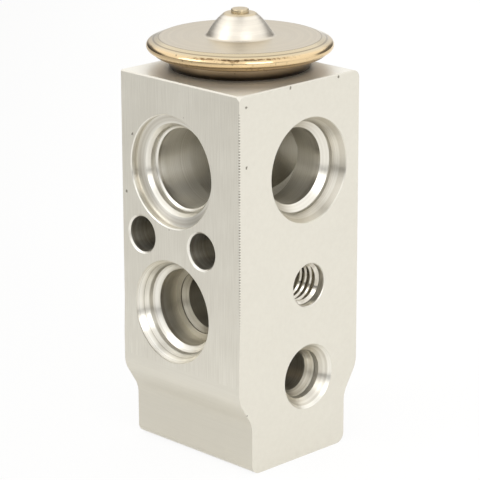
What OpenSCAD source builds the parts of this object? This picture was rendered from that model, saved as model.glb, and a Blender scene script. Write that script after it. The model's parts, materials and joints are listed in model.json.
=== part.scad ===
// Block-type thermostatic expansion valve, right-angle ports.
// The origin is where the valve's axis meets the bottom face, +Z up.
// The evaporator ports open towards -Y and the pipe ports towards +X.

/* [Block] */
// Width of the block along X and along Y
body_w = 30; // [29:0.5:36]
// Height of the block
body_h = 70; // [69:0.5:76]
// How far the valve axis lies from the middle of the block, towards its back corner
axis_shift = 2.4; // [1.6:0.1:2.6]
// Step in from the full width to the narrow foot, on each side
waist_step = 3.2; // [1.5:0.1:4]
// Height at which the waist begins
waist_top = 16; // [15:0.5:20]
// Radius of both bends of the waist
waist_r = 5; // [3:0.5:6]
// Lean of the straight part of the waist from upright, in degrees
waist_lean = 32; // [20:1:45]
// Radius of the extrusion's lower corners
foot_r = 1.8; // [0.5:0.1:3]
// Radius of the extrusion's upper back corner
top_r = 1.5; // [0.5:0.1:3]
// Edge break along the upper front corner
edge_break = 0.45; // [0.3:0.05:0.6]
// Edge break along the top's edge on the pipe face
side_break = 0.2; // [0.1:0.05:0.5]
// Length along the top of the facet filed on its front corner
corner_w = 1; // [0.5:0.05:1.5]
// Height of that facet
corner_h = 0.85; // [0.5:0.05:1.5]
// Depth to which the evaporator face is skimmed flat
skim = 0.2; // [0.1:0.05:0.4]
// Height down to which that face is skimmed
skim_z = 27; // [24:0.5:30]
// Length over which the skimming cut runs out below that height
skim_run = 6; // [2:0.5:8]

/* [Evaporator outlet port] */
// Height of the port's axis
p1_z = 53.4; // [53:0.1:54]
// Radius of the bore
p1_r = 7.34; // [6.8:0.05:7.6]
// Radial width and depth of the rounded lip at the bore's mouth
p1_lip = [0.43, 0.33];
// Radial width and depth of the seal throat
p1_throat = [0.2, 0.85];
// Radial width and depth of the lead-in cone
p1_cone = [0.58, 0.76];
// Radial width and depth of the nearly flat recess floor
p1_floor = [1.7, 0.46];
// Depth of the recess wall
p1_wall = 1.3; // [0.8:0.1:2]
// Depth at which the bore opens into the vapour passage
p1_bore_depth = 12; // [11:0.2:13]
// Radius of the vapour passage round the rod
p1_passage_r = 7.8; // [7.6:0.05:8]
// How far the vapour passage runs past the valve axis
p1_past_axis = 7.2; // [6:0.2:8]

/* [Suction pipe port] */
// Height of the port's axis
p2_z = 53.8; // [53:0.1:54.2]
// Radius of the bore
p2_r = 7; // [6.5:0.05:7.2]
// Radial width and depth of the seal seat
p2_seat = [1.26, 1.01];
// Radial width and depth of the seal throat
p2_throat = [0.14, 0.57];
// Radial width and depth of the lead-in cone
p2_cone = [0.7, 1.52];
// Radial width and depth of the mouth's chamfer
p2_chamfer = [0.5, 1];

/* [Evaporator inlet port] */
// Height of the port's axis
p3_z = 27.4; // [27:0.1:28]
// Radius of the bore
p3_r = 7.15; // [6.6:0.05:7.4]
// Radial width and depth of the seal seat
p3_seat = [1.05, 0.9];
// Radial width and depth of the seal throat
p3_throat = [0.2, 0.7];
// Radial width and depth of the lead-in cone
p3_cone = [0.7, 1.45];
// Radial width and depth of the mouth's chamfer
p3_chamfer = [0.45, 0.75];
// Depth of the bore
p3_depth = 7.8; // [7:0.1:9]
// Radius of the inner passage
p3_inner_r = 5.2; // [4.5:0.1:5.5]
// Radial width and depth of the cone at the inner passage's mouth
p3_inner_cone = [0.75, 1.1];
// How far the inner passage runs past the valve axis
p3_past_axis = 4; // [3:0.2:5]

/* [Liquid inlet port] */
// Height of the port's axis
p4_z = 15.1; // [14.8:0.1:15.3]
// Radius of the bore
p4_r = 3.75; // [3:0.05:3.9]
// Radial width and depth of the inner cone
p4_inner_cone = [0.73, 1.6];
// Radial width and depth of the seal throat
p4_throat = [0.13, 1.05];
// Radial width and depth of the throat's rounded entry
p4_entry = [0.3, 0.38];
// Radial width and depth of the lead-in funnel
p4_funnel = [0.84, 1.07];
// Radial width and depth of the mouth's chamfer
p4_chamfer = [0.39, 0.5];

/* [Fixing holes] */
// Height of the two through holes
hole_z = 40.4; // [40:0.1:41]
// Distance of each through hole from the valve axis
hole_x = 7.7; // [7.4:0.1:8.5]
// Radius of the through holes
hole_r = 3.3; // [2.6:0.05:3.4]
// Edge break at the mouths of the through holes
hole_chamfer = 0.35; // [0.1:0.05:0.5]
// Height of the tapped hole
tap_z = 32.5; // [32:0.1:33]
// Radius at the root of the tapped hole's thread
tap_r = 3.95; // [3.5:0.05:4]
// Width of the countersink round the thread
tap_chamfer = 0.15; // [0.1:0.05:0.5]
// Depth of the thread
tap_depth = 7.5; // [6:0.5:8]
// Depth of the hole drilled for the tap
tap_drill_depth = 9; // [8:0.5:10]

/* [Valve seat and spring chamber] */
// Radius of the orifice
orifice_r = 2.4; // [2:0.05:2.5]
// Angle of the ball's seat from the axis, in degrees
seat_angle = 30; // [28:1:34]
// Radius at the wide end of the seat
seat_r = 3; // [2.8:0.05:3.4]
// Radius of the spring chamber
chamber_r = 6.2; // [5.9:0.05:6.4]
// Clear height from the liquid inlet's bore to the chamber's roof
chamber_roof = 0.55; // [0.3:0.05:1]
// Radius of the adjusting screw's thread in the block
screw_hole_r = 7; // [6.9:0.05:7.4]
// Radius of the valve ball
ball_r = 3; // [2.9:0.05:3.2]
// How far the ball leaves its seat when the valve is fully open
lift = 0.6; // [0.3:0.05:0.8]

/* [Rod, pin and their seal] */
// Radius of the sensing rod in the vapour passage
rod_r = 3.2; // [2.8:0.05:3.6]
// Radius of the rod's lower stem
stem_r = 2.4; // [2:0.05:2.6]
// Radius of the push pin
pin_r = 1.2; // [0.9:0.05:1.4]
// How deep the pin is pressed into the rod
pin_grip = 3; // [2:0.5:4]
// Height of the lower end of the stem
stem_z = 36.6; // [36:0.1:38]
// Section diameter of the rod's O-ring
rod_seal_d = 1.5; // [1.2:0.05:1.6]
// Height of the floor of the rod seal's pocket
pocket_z = 43; // [42.6:0.1:43.4]
// Thickness of the seal's retaining washer
retainer_t = 0.4; // [0.3:0.05:0.6]

/* [Power head] */
// Radius of the head at its rim
head_r = 16.82; // [16.4:0.05:18]
// Radius of the rounded rim's section
rim_r = 0.87; // [0.7:0.05:1]
// How far the seam lies outside the middle of the rim's section
rim_wrap = 0.15; // [0.1:0.05:0.3]
// How far the skirt's foot stands in from the head's edge
skirt_w = 4.22; // [3.4:0.02:4.4]
// Height of the skirt, from the block up to the diaphragm
skirt_h = 3.75; // [3.4:0.05:4.5]
// Height of the cover's flat ring above the diaphragm, at its outer edge
ring_h = 1.4; // [1.3:0.05:2]
// Width of the slope between the cover's flat ring and the head's edge
slope_w = 2.24; // [1.8:0.02:3]
// Rise of the flat ring from its outer edge to the dome
ring_rise = 0.15; // [0.1:0.05:0.6]
// How far the lower cover's lip stands in from the head's edge
lip_w = 1.2; // [1:0.05:1.6]
// Thickness of the lip, from the diaphragm down
lip_t = 1.4; // [1.25:0.05:1.6]
// Radius of the bend from the lip down into the skirt
bend_r = 0.9; // [0.5:0.1:1.2]
// Radius of the dome at its foot
dome_r = 5.8; // [5.4:0.05:7]
// Radius of the dome's flat top
dome_top_r = 2.45; // [2.2:0.05:3]
// Height of the dome above the flat ring
dome_h = 4.15; // [3.6:0.05:5]
// Radius of the flare at the dome's foot
flare_r = 0.7; // [0.5:0.1:1.4]
// Radius of the dome's shoulder
shoulder_r = 0.9; // [0.4:0.1:1.4]
// Radius of the dome's bulging side
belly_r = 11; // [9:0.5:20]
// Thickness of the covers' sheet
cover_t = 1.2; // [1:0.05:1.3]
// Radius of the charging plug
plug_r = 1.6; // [1.3:0.05:1.9]
// How far the plug's head laps over its hole
plug_lip = 0.5; // [0.3:0.05:0.6]
// Height of the charging plug above the dome
plug_h = 0.75; // [0.4:0.05:1.2]
// Thickness of the diaphragm
diaphragm_t = 0.15; // [0.1:0.01:0.2]
// Radius of the threaded neck
neck_r = 9.95; // [9.6:0.05:10.2]
// Length of the threaded neck below the block's top
neck_l = 6.6; // [5:0.2:6.8]
// Wall thickness of the neck
neck_wall = 1.75; // [1.5:0.05:2.4]
// Section diameter of the head's O-ring
head_seal_d = 1.9; // [1.6:0.05:2]
// Radius of the well between the vapour passage and the neck
well_r = 7; // [6:0.1:7.1]
// Width of the gap between the stopper plate and the skirt
plate_gap = 2; // [1.6:0.02:3]

/* [Ball holder and springs] */
// Radius of the ball holder's flange
holder_r = 4.9; // [4.6:0.05:5.2]
// Thickness of the holder's flange
holder_t = 1; // [0.7:0.05:1.2]
// Radius of the holder's cup round the ball
cup_r = 3.3; // [3.1:0.05:3.6]
// Length of the holder's spigot inside the spring
spigot_l = 1.8; // [1:0.1:2.2]
// Wire diameter of the bias spring
wire_d = 1.3; // [1:0.05:1.4]
// Mean radius of the bias spring
spring_r = 4.3; // [4.2:0.05:4.4]
// Coils of the bias spring
spring_coils = 4.5; // [4:0.5:5]
// Sheet thickness of the damper spring
damper_t = 0.3; // [0.2:0.05:0.35]
// Width of the damper spring's legs
leg_w = 2; // [1.5:0.1:2.4]
// Height of the damper spring's legs
leg_h = 3; // [2:0.1:3.4]

/* [Adjusting screw] */
// How far the screw lies inside the bottom face
screw_inset = 0.7; // [0.6:0.05:1.2]
// Length of the screw's thread
thread_l = 2.8; // [2:0.1:3]
// Length of the screw's plain head above the thread
land_l = 3.1; // [2.8:0.1:3.4]
// Height of the screw's boss inside the spring
boss_h = 1; // [0.6:0.1:1.4]
// Section diameter of the screw's O-ring
screw_seal_d = 1.5; // [1.2:0.05:1.6]
// Width across the flats of the hexagon socket
hex_af = 6; // [5:0.5:7]
// Depth of the hexagon socket
hex_depth = 4.2; // [3:0.2:4.6]
// How far the screw may be turned in or out from its setting
screw_travel = 0.5; // [0.2:0.1:0.6]

/* [Hidden] */
$fn = 96;
// Clearance of a piece that slides or turns in its bore
running = 0.05;
// Clearance of a piece that is screwed or laid into its seat
seated = 0.02;
// Edge breaks on small turned pieces
small_break = 0.3;
// Length that a cutting tool reaches past the face it enters
over = 1;
// Slope at which the upper cover leaves the rim, in degrees
rim_lean = 20;
// Lean of the skirt from upright, in degrees
skirt_lean = 24;
// Angle of a drill's point from its axis
drill_point = 59;
// How much smaller the tapping drill is than the thread's root
thread_step = 0.55;
// Steps in a quarter of a turned or extruded bend
bend_steps = 10;

// Plan of the block: the valve axis is the origin
x_min = -body_w / 2 + axis_shift;
x_max = body_w / 2 + axis_shift;
y_min = -body_w / 2 - axis_shift;

// Heights along the valve axis, from the bottom up
screw_top = screw_inset + thread_l + land_l;
thread_top = screw_inset + thread_l + screw_travel + small_break;
chamber_top = p4_z + p4_r + chamber_roof;
seat_h = (seat_r - orifice_r) / tan(seat_angle);
seat_top = chamber_top + seat_h;
ball_touch_r = ball_r * cos(seat_angle);
ball_z = seat_top - (ball_touch_r - orifice_r) / tan(seat_angle) - ball_r * sin(seat_angle) - seated;
ball_top = ball_z + ball_r;
flange_top = ball_z - ball_r * sin(50);
flange_z = flange_top - holder_t;
spring_top = flange_z - damper_t;
passage_floor = p1_z - p1_passage_r;
pocket_r = stem_r + running + rod_seal_d;
pocket_top = passage_floor + pocket_r / 2;
dia_z = body_h + skirt_h;
dia_top = dia_z + diaphragm_t;
rim_z = dia_z + diaphragm_t / 2;
seam_r = head_r - rim_r + rim_wrap;
ring_r = head_r - slope_w;
skirt_r = head_r - skirt_w;
plate_r = skirt_r - plate_gap;
neck_bore_r = neck_r - neck_wall;
neck_z = body_h - neck_l;
gland_r = neck_r + head_seal_d + seated;
gland_z = body_h - head_seal_d - seated;
ledge_z = body_h + seated + cover_t;
plate_top = dia_z - seated;
plate_z = ledge_z + lift + seated;
plate_t = plate_top - plate_z;
rod_top = plate_z + plate_t / 2;
ring_top = dia_top + ring_h;
dome_foot_z = ring_top + ring_rise;
dome_top_z = dome_foot_z + dome_h;

// Points along an arc of radius r round c, from angle a to angle b
function arc(c, r, a, b, steps = bend_steps) =
    [for (i = [0:steps]) c + r * [cos(a + (b - a) * i / steps), sin(a + (b - a) * i / steps)]];

function mirrored(path) = [for (p = path) [-p[0], p[1]]];
function reversed(path) = [for (i = [len(path) - 1:-1:0]) path[i]];
function unit(v) = v / norm(v);

// A path moved sideways by d, to its right as it runs
function beside(path, d) = [
    for (i = [0:len(path) - 1])
        let (a = path[max(i - 1, 0)], b = path[i], c = path[min(i + 1, len(path) - 1)])
        let (u = i > 0 ? unit(b - a) : unit(c - b), v = i < len(path) - 1 ? unit(c - b) : unit(b - a))
        let (n = unit(u + v))
        b + d / (n * u) * [n[1], -n[0]]
];

// Sum of the first count entries of steps, in radius and in depth
function stepped(steps, count) = count == 0 ? [0, 0] : steps[count - 1] + stepped(steps, count - 1);

// One side of the extrusion, from the foot up to the top: the waist is two bends and a straight
function waist(half) =
    let (bend = waist_r * (1 - cos(waist_lean)))
    let (straight = (waist_step - 2 * bend) / sin(waist_lean))
    let (drop = 2 * waist_r * sin(waist_lean) + straight * cos(waist_lean))
    concat(
        arc([half - waist_step - foot_r, foot_r], foot_r, -90, 0),
        arc([half - waist_step + waist_r, waist_top - drop], waist_r, 180, 180 - waist_lean),
        arc([half - waist_r, waist_top], waist_r, -waist_lean, 0)
    );

module extrusion_outline() {
    half = body_w / 2;
    back = concat(waist(half), arc([half - top_r, body_h - top_r], top_r, 0, 90));
    front = concat(
        waist(half + skim),
        [[half + skim, body_h - edge_break], [half + skim - edge_break, body_h]]
    );
    polygon(concat(back, reversed(mirrored(front))));
}

// A bore along +Z into the part, its mouth at z = 0, widened by steps of [radial width, depth]
// that are listed from the bore outwards
module port_cut(bore_r, steps, depth) {
    total = stepped(steps, len(steps));
    rim = [for (i = [0:len(steps)])
        let (s = stepped(steps, i)) [bore_r + s[0], total[1] - s[1]]];
    mouth_r = bore_r + total[0];
    rotate_extrude()
        polygon(concat([[0, depth], [bore_r, depth]], rim, [[mouth_r, -over], [0, -over]]));
}

module drilled(r, depth) {
    translate([0, 0, -over]) cylinder(r = r, h = depth + over);
    translate([0, 0, depth]) cylinder(r1 = r, r2 = 0, h = r / tan(drill_point));
}

// The edge break on the pipe face, and the facet on the corner between the two ported faces
module top_breaks() {
    facet_lean = atan(sqrt(2) * corner_h / corner_w);
    translate([x_max, 0, body_h]) rotate([0, 45, 0])
        translate([-over, -body_w, -side_break / sqrt(2)]) cube([2 * over, 2 * body_w, over]);
    translate([x_max, y_min, body_h]) rotate([0, facet_lean, -45])
        translate([-2 * over, -2 * over, -corner_h * cos(facet_lean)]) cube([4 * over, 4 * over, 2 * over]);
}

// Puts a cutter's mouth on the evaporator face, pointing in
module at_evaporator_face(x, z) {
    translate([x, y_min, z]) rotate([-90, 0, 0]) children();
}

// Puts a cutter's mouth on the pipe face, pointing in
module at_pipe_face(z) {
    translate([x_max, 0, z]) rotate([0, -90, 0]) children();
}

module evaporator_ports() {
    at_evaporator_face(0, p1_z) {
        port_cut(p1_r, [p1_lip, p1_throat, p1_cone, p1_floor, [0, p1_wall], [skim, skim]],
            p1_bore_depth + over);
        translate([0, 0, p1_bore_depth])
            cylinder(r = p1_passage_r, h = p1_past_axis - y_min - p1_bore_depth);
    }
    at_evaporator_face(0, p3_z) {
        port_cut(p3_r, [p3_seat, p3_throat, p3_cone, p3_chamfer], p3_depth);
        translate([0, 0, p3_depth - small_break])
            cylinder(r = p3_inner_r + p3_inner_cone[0], h = 2 * small_break);
        translate([0, 0, p3_depth + small_break])
            cylinder(r1 = p3_inner_r + p3_inner_cone[0], r2 = p3_inner_r, h = p3_inner_cone[1]);
        drilled(p3_inner_r, p3_past_axis - y_min);
    }
}

module pipe_ports() {
    at_pipe_face(p2_z) port_cut(p2_r, [p2_seat, p2_throat, p2_cone, p2_chamfer], x_max);
    at_pipe_face(p4_z) port_cut(
        p4_r, [p4_inner_cone, p4_throat, p4_entry, p4_funnel, p4_chamfer], x_max);
    at_pipe_face(tap_z) {
        drilled(tap_r - thread_step, tap_drill_depth);
        translate([0, 0, -over]) cylinder(r = tap_r, h = tap_depth + over);
        translate([0, 0, tap_depth])
            cylinder(r1 = tap_r, r2 = tap_r - thread_step, h = thread_step);
        translate([0, 0, -over]) cylinder(r1 = tap_r + tap_chamfer + over, r2 = tap_r, h = tap_chamfer + over);
    }
}

module through_hole(x) {
    wide = hole_r + hole_chamfer + over;
    at_evaporator_face(x, hole_z) {
        translate([0, 0, -over]) cylinder(r = hole_r, h = body_w + 2 * over);
        translate([0, 0, -over]) cylinder(r1 = wide, r2 = hole_r, h = hole_chamfer + over);
        translate([0, 0, body_w - hole_chamfer])
            cylinder(r1 = hole_r, r2 = wide, h = hole_chamfer + over);
    }
}

// The stepped bore along the valve axis, from the adjusting screw up to the power head
module axis_bores() {
    translate([0, 0, -over]) cylinder(r = screw_hole_r, h = thread_top + over);
    translate([0, 0, -over])
        cylinder(r1 = screw_hole_r + small_break + over, r2 = screw_hole_r, h = small_break + over);
    cylinder(r = chamber_r, h = chamber_top);
    translate([0, 0, chamber_top]) cylinder(r1 = seat_r, r2 = orifice_r, h = seat_h);
    translate([0, 0, chamber_top]) cylinder(r = orifice_r, h = p3_z - chamber_top);
    translate([0, 0, p3_z]) cylinder(r = pin_r + running, h = p1_z - p3_z);
    translate([0, 0, stem_z - lift - small_break])
        cylinder(r = stem_r + running, h = p1_z - stem_z + lift + small_break);
    translate([0, 0, pocket_z]) cylinder(r = pocket_r, h = pocket_top - pocket_z);
    translate([0, 0, p1_z]) cylinder(r = well_r, h = body_h - p1_z);
    translate([0, 0, neck_z - small_break]) cylinder(r = neck_r + running, h = neck_l + over);
    translate([0, 0, gland_z]) cylinder(r = gland_r, h = head_seal_d + over);
}

// What the skimming cut takes off, seen from the side: it runs out on a slant at its lower end
module skim_cut() {
    polygon([
        [y_min - over, skim_z - skim_run], [y_min - skim, skim_z - skim_run], [y_min, skim_z],
        [y_min, body_h + over], [y_min - over, body_h + over]
    ]);
}

module valve_body() {
    color("gainsboro") difference() {
        translate([x_min, -axis_shift, 0]) rotate([90, 0, 90])
            linear_extrude(height = body_w) extrusion_outline();
        translate([x_min - over, 0, 0]) rotate([90, 0, 90])
            linear_extrude(height = body_w + 2 * over) skim_cut();
        evaporator_ports();
        pipe_ports();
        for (x = [-hole_x, hole_x]) through_hole(x);
        axis_bores();
        top_breaks();
    }
}

// The point at distance a from p and b from q, on the side of the valve axis
function meet(p, a, q, b) =
    let (u = unit(q - p), x = (a * a - b * b + pow(norm(q - p), 2)) / (2 * norm(q - p)))
    p + x * u + sqrt(a * a - x * x) * [u[1], -u[0]];

function heading(p, q) = atan2(q[1] - p[1], q[0] - p[0]);

// Centres of the dome's three bends: the flare at its foot, its shoulder, and the belly between
flare_at = [dome_r + flare_r, dome_foot_z + flare_r];
shoulder_at = [dome_top_r, dome_top_z - shoulder_r];
belly_at = meet(shoulder_at, belly_r - shoulder_r, flare_at, belly_r + flare_r);

// The dome's side at depth t in the sheet, from its foot up to its flat top
function dome_side(t) =
    let (r = max(shoulder_r - t, small_break), z = dome_top_z - t - r)
    let (turn = [belly_at[0] + sqrt(pow(belly_r - t - r, 2) - pow(z - belly_at[1], 2)), z])
    let (low = heading(belly_at, flare_at), high = heading(belly_at, turn))
    concat(
        arc(flare_at, flare_r + t, 270, 180 + low, 6),
        arc(belly_at, belly_r - t, low, high, 6),
        arc(turn, r, high, 90, 6)
    );

// The rolled and welded rim, which wraps the edges of the diaphragm and the lower cover
module rim() {
    difference() {
        translate([head_r - rim_r, rim_z]) circle(r = rim_r);
        translate([0, dia_top - 2 * rim_r]) square([seam_r, 2 * rim_r]);
    }
}

module upper_cover() {
    hole = plug_r - plug_lip;
    edge = [head_r - rim_r, rim_z] + rim_r * [sin(rim_lean), cos(rim_lean)];
    color("lightsteelblue") rotate_extrude() {
        polygon(concat(
            [[edge[0], dia_top], edge, [ring_r, ring_top]],
            dome_side(0),
            [[hole, dome_top_z], [hole, dome_top_z - cover_t]],
            reversed(dome_side(cover_t)),
            [[ring_r, ring_top - cover_t], [ring_r, dia_top]]
        ));
        rim();
    }
}

module charge_plug() {
    shank_r = plug_r - plug_lip - seated;
    color("tan") rotate_extrude() polygon(concat(
        [[0, dome_top_z - cover_t], [shank_r, dome_top_z - cover_t], [shank_r, dome_top_z + seated],
            [plug_r, dome_top_z + seated]],
        arc([plug_r - small_break, dome_top_z + plug_h - small_break], small_break, 0, 70, 4),
        [[0, dome_top_z + plug_h]]
    ));
}

// Half section of the diaphragm: flat middle, two rings of waves, flat clamped edge
module diaphragm() {
    waves = 2;
    wave_h = 0.15;
    start = plate_r - over;
    finish = ring_r - over;
    steps = 12 * waves;
    path = concat(
        [[0, 0]],
        [for (i = [0:steps]) [start + (finish - start) * i / steps,
            wave_h * (1 - cos(360 * waves * i / steps)) / 2]],
        [[seam_r - seated, 0]]
    );
    color("silver") translate([0, 0, dia_z]) rotate_extrude()
        polygon(concat(path, reversed([for (p = path) p + [0, diaphragm_t]])));
}

// The lip under the rim, the bend below it, and the skirt that stands on the block
module lower_cover() {
    edge_r = seam_r - seated;
    lip_r = head_r - lip_w;
    foot_z = body_h + seated;
    bend_z = dia_z - lip_t - bend_r;
    bend_at = [skirt_r + (bend_z - foot_z) * tan(skirt_lean) + bend_r / cos(skirt_lean), bend_z];
    inner_r = skirt_r + (ledge_z - foot_z) * tan(skirt_lean) - cover_t / cos(skirt_lean);
    color("rosybrown") rotate_extrude() polygon(concat(
        [[neck_bore_r, neck_z], [neck_r - small_break, neck_z], [neck_r, neck_z + small_break],
            [neck_r, foot_z], [skirt_r, foot_z]],
        arc(bend_at, bend_r, 180 - skirt_lean, 90, 6),
        arc([lip_r - small_break, dia_z - lip_t + small_break], small_break, 270, 360, 4),
        [[lip_r, rim_z - sqrt(pow(rim_r, 2) - pow(lip_r - head_r + rim_r, 2))],
            [head_r - rim_r, rim_z - rim_r],
            [edge_r, rim_z - sqrt(pow(rim_r, 2) - pow(seam_r - head_r + rim_r, 2))],
            [edge_r, dia_z], [bend_at[0], dia_z]],
        arc(bend_at, bend_r + cover_t, 90, 180 - skirt_lean, 6),
        [[inner_r, ledge_z], [neck_bore_r + small_break, ledge_z],
            [neck_bore_r, ledge_z - small_break]]
    ));
}

module o_ring(inner_r, section_d) {
    rotate_extrude() translate([inner_r + section_d / 2, 0]) circle(d = section_d);
}

module head_seal() {
    color("black") translate([0, 0, body_h - head_seal_d / 2])
        o_ring(neck_r + seated / 2, head_seal_d);
}

module stopper_plate() {
    hub_r = rod_r + over;
    hub_l = plate_t;
    color("silver") difference() {
        union() {
            translate([0, 0, plate_z]) cylinder(r = plate_r, h = plate_t);
            translate([0, 0, plate_z - hub_l]) cylinder(r = hub_r, h = hub_l + plate_t / 2);
        }
        translate([0, 0, plate_z - hub_l - over])
            cylinder(r = rod_r + seated, h = rod_top - plate_z + hub_l + over + seated);
    }
}

module sensing_rod() {
    shoulder_z = passage_floor + lift + retainer_t + rod_seal_d;
    color("gainsboro") difference() {
        rotate_extrude() polygon([
            [0, stem_z], [stem_r - small_break, stem_z], [stem_r, stem_z + small_break],
            [stem_r, shoulder_z - small_break], [rod_r, shoulder_z + small_break],
            [rod_r, rod_top - small_break], [rod_r - small_break, rod_top], [0, rod_top]
        ]);
        translate([0, 0, stem_z - over]) cylinder(r = pin_r, h = pin_grip + over);
    }
}

module push_pin() {
    color("silver") translate([0, 0, ball_top + seated])
        cylinder(r = pin_r, h = stem_z + pin_grip - ball_top - seated);
}

module rod_seal() {
    color("black") translate([0, 0, pocket_z + rod_seal_d / 2 + seated])
        o_ring(stem_r + running / 2, rod_seal_d);
}

module seal_retainer() {
    teeth = 8;
    gap_r = 0.5;
    color("silver") translate([0, 0, pocket_z + rod_seal_d + 2 * seated]) difference() {
        cylinder(r = pocket_r, h = retainer_t);
        translate([0, 0, -over]) cylinder(r = stem_r + 2 * running, h = retainer_t + 2 * over);
        for (i = [0:teeth - 1]) rotate(360 * i / teeth)
            translate([pocket_r, 0, -over]) cylinder(r = gap_r, h = retainer_t + 2 * over);
    }
}

module valve_ball() {
    color("silver") translate([0, 0, ball_z]) sphere(r = ball_r);
}

module ball_holder() {
    nest_r = ball_r + seated;
    spigot_r = spring_r - wire_d / 2 - running;
    color("goldenrod") difference() {
        rotate_extrude() polygon([
            [0, flange_z - spigot_l], [spigot_r - small_break, flange_z - spigot_l],
            [spigot_r, flange_z - spigot_l + small_break], [spigot_r, flange_z],
            [holder_r, flange_z], [holder_r, flange_top], [cup_r, flange_top],
            [cup_r, ball_z - ball_r * sin(20)], [0, ball_z - ball_r * sin(20)]
        ]);
        translate([0, 0, ball_z]) sphere(r = nest_r);
    }
}

module damper_leg() {
    foot_r = holder_r + running;
    wall_r = sqrt(pow(chamber_r - running, 2) - pow(leg_w / 2, 2));
    path = [[foot_r - over, 0], [foot_r + damper_t / 2, 0], [wall_r - damper_t, damper_t + small_break],
        [wall_r - damper_t, leg_h]];
    rotate([90, 0, 0]) translate([0, 0, -leg_w / 2]) linear_extrude(height = leg_w)
        polygon(concat(path, reversed(beside(path, damper_t))));
}

module damper_spring() {
    legs = 4;
    spigot_r = spring_r - wire_d / 2 - running;
    color("lightgray") translate([0, 0, spring_top]) {
        difference() {
            cylinder(r = holder_r, h = damper_t);
            translate([0, 0, -over]) cylinder(r = spigot_r + running, h = damper_t + 2 * over);
        }
        for (i = [0:legs - 1]) rotate(45 + 360 * i / legs) translate([0, 0, damper_t])
            damper_leg();
    }
}

// Height of the spring's centre line after a share t of its coils: a dead coil at each end
function spring_rise(t) =
    let (dead = 1 / spring_coils, active = 1 - 2 * dead)
    let (s = min(max((t - dead) / active, 0), 1), closed = wire_d * 0.92)
    closed * (min(t, dead) + max(t - 1 + dead, 0)) / dead
        + s * (spring_top - screw_top - wire_d - 2 * closed + 2 * wire_d * 0.2);

module bias_spring() {
    sides = 8;
    per_coil = 20;
    rings = per_coil * spring_coils;
    points = [for (i = [0:rings], k = [0:sides - 1])
        let (a = 360 * i / per_coil, b = 360 * (k + 0.5) / sides)
        let (r = spring_r + wire_d / 2 * cos(b))
        [r * cos(a), r * sin(a), spring_rise(i / rings) + wire_d / 2 * sin(b)]];
    skin = [for (i = [0:rings - 1], k = [0:sides - 1])
        let (n = (k + 1) % sides)
        [i * sides + k, i * sides + n, (i + 1) * sides + n, (i + 1) * sides + k]];
    first = [for (k = [sides - 1:-1:0]) k];
    last = [for (k = [0:sides - 1]) rings * sides + k];
    color("silver") intersection() {
        translate([0, 0, screw_top + wire_d * 0.3])
            polyhedron(points, concat([first], skin, [last]), convexity = 6);
        translate([0, 0, screw_top]) cylinder(r = spring_r + wire_d, h = spring_top - screw_top);
    }
}

module adjusting_screw() {
    root_r = chamber_r - running - screw_seal_d;
    land_r = chamber_r - running;
    thread_r = screw_hole_r - running;
    groove_w = screw_seal_d + 2 * running;
    groove_z = screw_inset + thread_l + (land_l - groove_w) / 2;
    spigot_r = spring_r - wire_d / 2 - running;
    color("goldenrod") difference() {
        rotate_extrude() polygon([
            [0, screw_inset], [thread_r - small_break, screw_inset],
            [thread_r, screw_inset + small_break],
            [thread_r, screw_inset + thread_l - small_break],
            [land_r, screw_inset + thread_l], [land_r, groove_z], [root_r, groove_z],
            [root_r, groove_z + groove_w], [land_r, groove_z + groove_w],
            [land_r, screw_top - small_break], [land_r - small_break, screw_top],
            [spigot_r, screw_top], [spigot_r, screw_top + boss_h - small_break],
            [spigot_r - small_break, screw_top + boss_h], [0, screw_top + boss_h]
        ]);
        translate([0, 0, screw_inset - over])
            cylinder(d = hex_af / cos(30), h = hex_depth + over, $fn = 6);
        translate([0, 0, screw_inset - over]) cylinder(
            r1 = hex_af / 2 + over + small_break, r2 = hex_af / 2, h = over + small_break);
    }
}

module screw_seal() {
    groove_w = screw_seal_d + 2 * running;
    groove_z = screw_inset + thread_l + (land_l - groove_w) / 2;
    color("black") translate([0, 0, groove_z + groove_w / 2])
        o_ring(chamber_r - running / 2 - screw_seal_d, screw_seal_d);
}

valve_body();
upper_cover();
charge_plug();
diaphragm();
lower_cover();
head_seal();
stopper_plate();
sensing_rod();
push_pin();
rod_seal();
seal_retainer();
valve_ball();
ball_holder();
damper_spring();
bias_spring();
adjusting_screw();
screw_seal();
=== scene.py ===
# %% [markdown]
# A block-type expansion valve, dressed for its portrait
# The valve is an aluminium block with ports on two sides and a steel power head on top. Its
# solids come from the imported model. This script gives them their finishes, adds the fine forms
# that the solids leave out, and sets the camera and the light.

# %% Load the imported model
import bpy
import json
import math
from mathutils import Matrix, Vector


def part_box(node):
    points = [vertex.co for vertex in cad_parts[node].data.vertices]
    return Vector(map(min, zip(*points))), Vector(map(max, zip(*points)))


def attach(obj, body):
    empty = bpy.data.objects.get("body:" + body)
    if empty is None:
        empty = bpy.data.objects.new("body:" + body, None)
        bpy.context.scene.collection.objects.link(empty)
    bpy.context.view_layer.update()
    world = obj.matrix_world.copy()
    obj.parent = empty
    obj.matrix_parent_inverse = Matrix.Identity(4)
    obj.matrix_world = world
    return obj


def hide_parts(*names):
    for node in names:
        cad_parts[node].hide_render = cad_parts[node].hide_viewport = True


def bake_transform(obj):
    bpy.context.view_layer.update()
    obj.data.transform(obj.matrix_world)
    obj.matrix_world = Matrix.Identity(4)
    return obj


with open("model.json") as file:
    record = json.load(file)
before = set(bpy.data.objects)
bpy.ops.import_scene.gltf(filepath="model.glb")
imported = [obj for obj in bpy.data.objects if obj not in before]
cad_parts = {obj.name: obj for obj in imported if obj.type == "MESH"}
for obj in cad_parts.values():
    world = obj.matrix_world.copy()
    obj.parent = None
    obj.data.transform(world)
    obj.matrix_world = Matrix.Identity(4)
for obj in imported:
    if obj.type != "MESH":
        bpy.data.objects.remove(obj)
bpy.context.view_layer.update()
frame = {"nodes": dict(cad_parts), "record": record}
nodes = frame["nodes"]
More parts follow.
